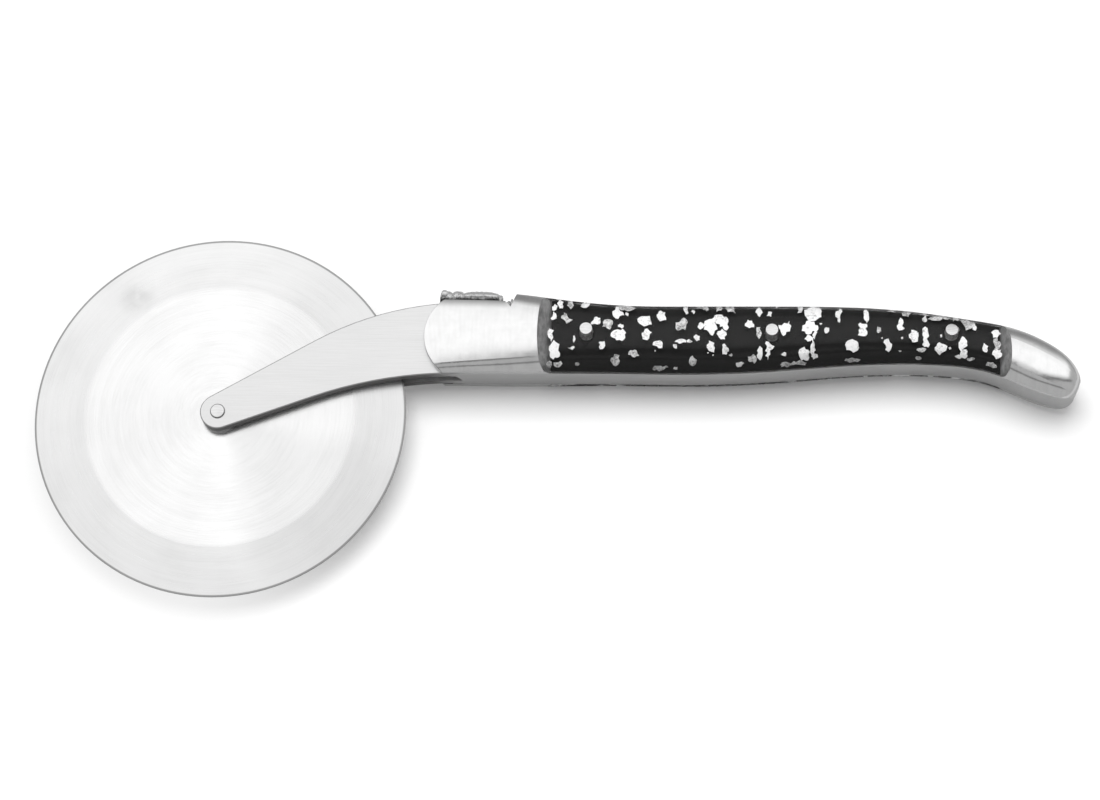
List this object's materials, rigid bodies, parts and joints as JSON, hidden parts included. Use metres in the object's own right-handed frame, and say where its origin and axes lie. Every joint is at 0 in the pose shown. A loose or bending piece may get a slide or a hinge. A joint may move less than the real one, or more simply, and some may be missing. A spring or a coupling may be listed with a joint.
{
  "type": "pizza cutter wheel",
  "caption": "Hand-held pizza cutter: a thin steel cutting disc turns on a rivet in a fork whose plates run through a handle with steel collars, resin scales and tail caps.",
  "frame": {"origin": "centre of the cutting disc, on the mid-plane of the cutter", "axes": "+Z along the disc's axle towards the front face, +X along the handle to its tail, +Y towards the spine with the ornament"},
  "size_m": [0.2229, 0.08, 0.0146],
  "materials": {
    "disc_steel": "turned and fine brushed in circles, with a ground bevel",
    "bush_brass": "turned",
    "rivet_steel": "ground flush, satin",
    "washer_steel": "stamped, plain",
    "fork_steel": "brushed lengthwise, satin",
    "fitting_steel": "fine satin, polished over the crown",
    "scale_resin": "clear resin over a dark core with light flakes, polished",
    "cast_steel": "cast, dark in the grooves and rubbed bright on the high spots"
  },
  "bodies": {
    "handle": {"axle_rivet": "rivet_steel", "front_washer": "washer_steel", "back_washer": "washer_steel", "front_fork_plate": "fork_steel", "back_fork_plate": "fork_steel", "handle_spacer": "fork_steel", "front_collar": "fitting_steel", "back_collar": "fitting_steel", "front_scale": "scale_resin", "back_scale": "scale_resin", "front_tail_cap": "fitting_steel", "back_tail_cap": "fitting_steel", "fore_scale_pin": "rivet_steel", "middle_scale_pin": "rivet_steel", "aft_scale_pin": "rivet_steel", "lower_collar_rivet": "rivet_steel", "upper_collar_rivet": "rivet_steel", "tail_rivet": "rivet_steel", "spine_bee": "cast_steel"},
    "wheel": {"cutting_wheel": "disc_steel", "wheel_bush": "bush_brass"}
  },
  "joints": [
    {"name": "wheel_spin", "type": "hinge", "parent": "handle", "child": "wheel", "pos_m": [0, 0, 0], "axis": [0, 0, 1], "continuous": true}
  ]
}
